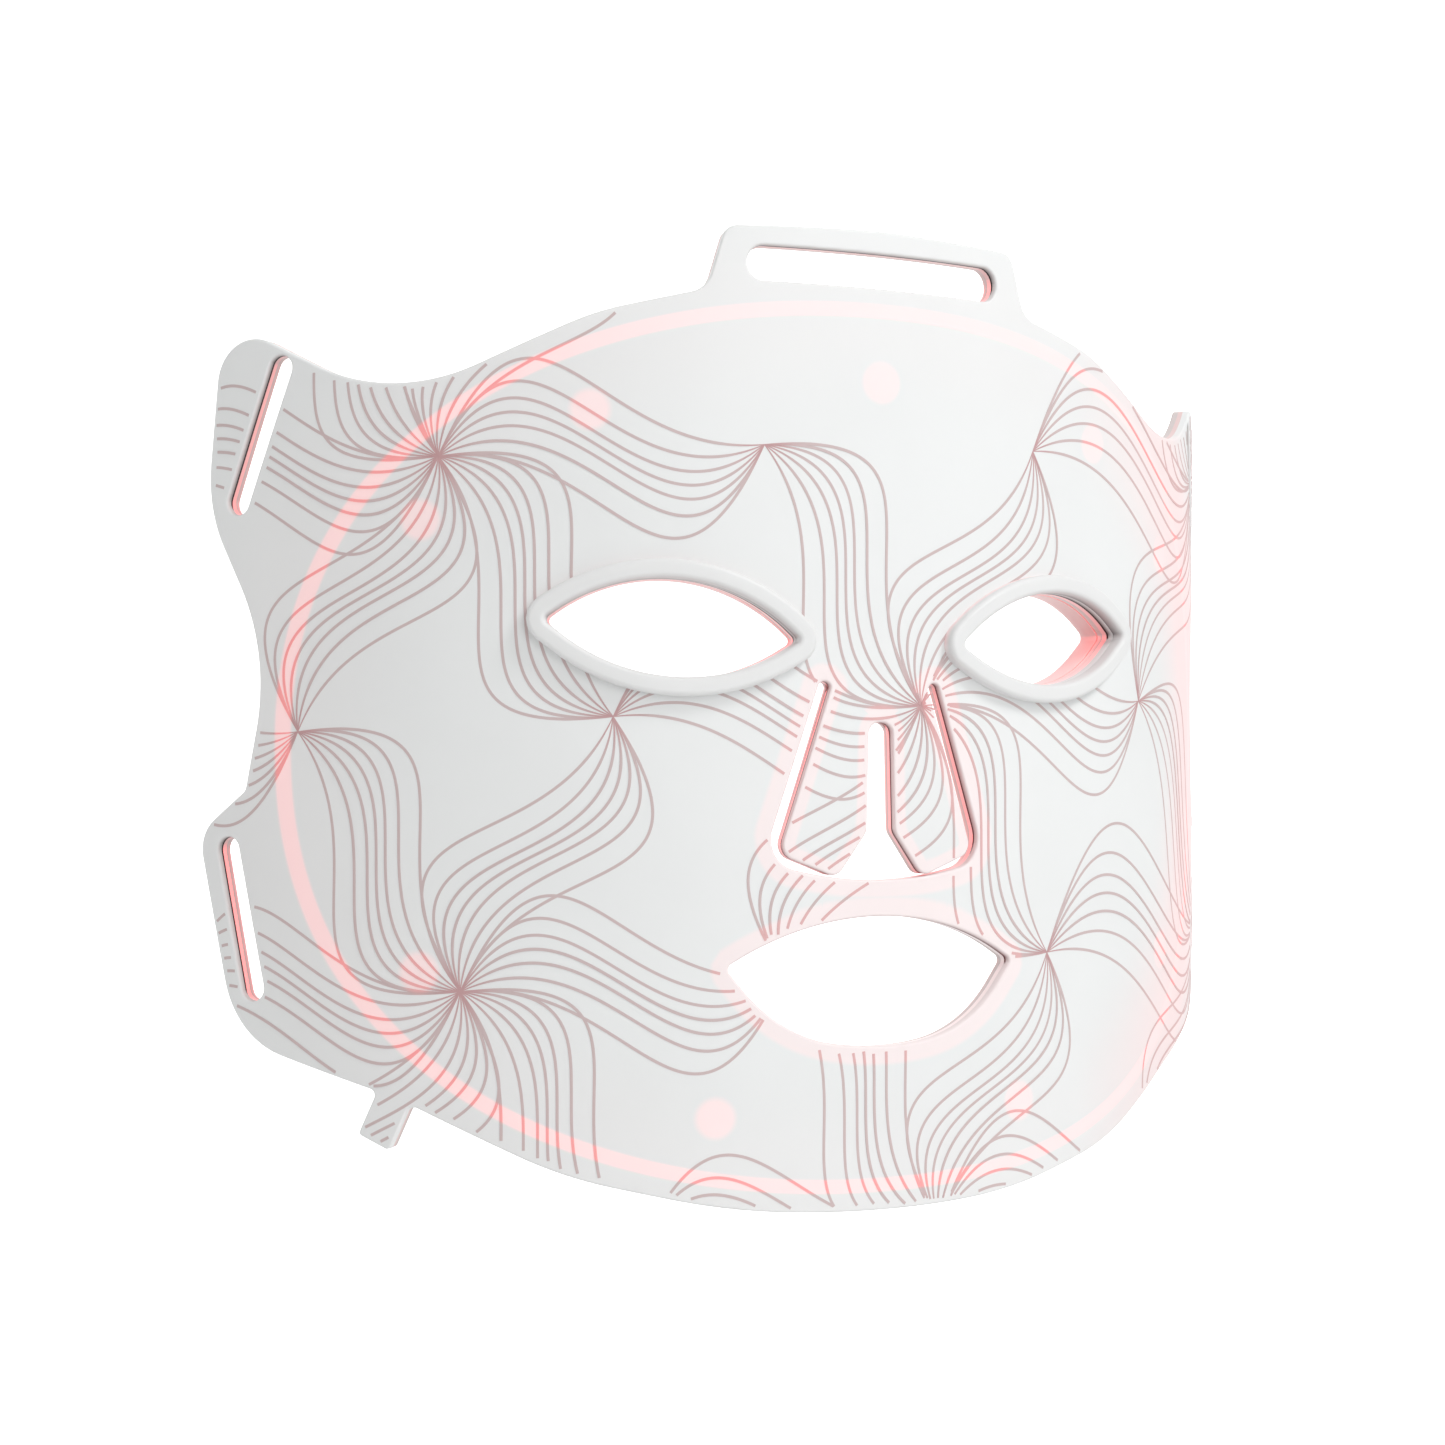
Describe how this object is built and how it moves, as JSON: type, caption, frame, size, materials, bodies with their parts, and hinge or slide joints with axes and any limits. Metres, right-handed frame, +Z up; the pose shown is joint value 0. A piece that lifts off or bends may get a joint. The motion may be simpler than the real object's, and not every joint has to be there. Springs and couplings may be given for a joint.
{
  "type": "led face mask",
  "caption": "Curved silicone light-therapy face mask with raised eye rims, hinged nose flaps, mouth opening, strap slots and an inlet tab.",
  "frame": {"origin": "the inner face of the liner on the centre line, at the bridge of the nose, where the mask rests on the wearer", "axes": "+Z up, -Y out of the front of the mask away from the face, +X to the right of someone who looks at the front"},
  "size_m": [0.2322, 0.0659, 0.187],
  "materials": {
    "cover_silicone": "soft matte white silicone with a fine line print",
    "rim_silicone": "smooth matte white silicone",
    "clear_silicone": "milky translucent silicone lit from inside by the red chips",
    "circuit_film": "thin white polyimide circuit film",
    "red_led": "clear epoxy lens, lit red",
    "infrared_led": "smoky epoxy lens, no visible light",
    "resistor": "dark ceramic chip",
    "inlet_metal": "plated steel shell",
    "inlet_plastic": "black moulded plastic",
    "contact_metal": "gold-plated contacts"
  },
  "bodies": {
    "mask": {"front_cover": "cover_silicone", "face_liner": "clear_silicone", "edge_sheet": "clear_silicone", "mouth_bead": "clear_silicone", "nose_bead": "clear_silicone", "eye_bead_left": "clear_silicone", "eye_bead_right": "clear_silicone", "bond_posts": "clear_silicone", "flex_circuit": "circuit_film", "red_leds": "red_led", "infrared_leds": "infrared_led", "resistors": "resistor", "eye_rim_left": "rim_silicone", "eye_rim_right": "rim_silicone", "eye_guard_left": "clear_silicone", "eye_guard_right": "clear_silicone", "inlet_shell": "inlet_metal", "inlet_tongue": "inlet_plastic", "inlet_contacts": "contact_metal"},
    "flap_left": {"nose_flap_cover_left": "cover_silicone", "nose_flap_bead_left": "clear_silicone", "nose_flap_circuit_left": "circuit_film", "nose_flap_liner_left": "clear_silicone", "nose_flap_leds_left": "red_led"},
    "flap_right": {"nose_flap_cover_right": "cover_silicone", "nose_flap_bead_right": "clear_silicone", "nose_flap_circuit_right": "circuit_film", "nose_flap_liner_right": "clear_silicone", "nose_flap_leds_right": "red_led"}
  },
  "joints": [
    {"name": "nose_flap_right", "type": "hinge", "parent": "mask", "child": "flap_right", "pos_m": [0.00535, -0.0039, -0.00741], "axis": [-0.8224, -0.0314, -0.568], "range_deg": [0, 35], "stiffness_Nm_per_rad": 0.02},
    {"name": "nose_flap_left", "type": "hinge", "parent": "mask", "child": "flap_left", "pos_m": [-0.00535, -0.0039, -0.00741], "axis": [-0.8224, 0.0314, 0.568], "range_deg": [0, 35], "stiffness_Nm_per_rad": 0.02}
  ]
}
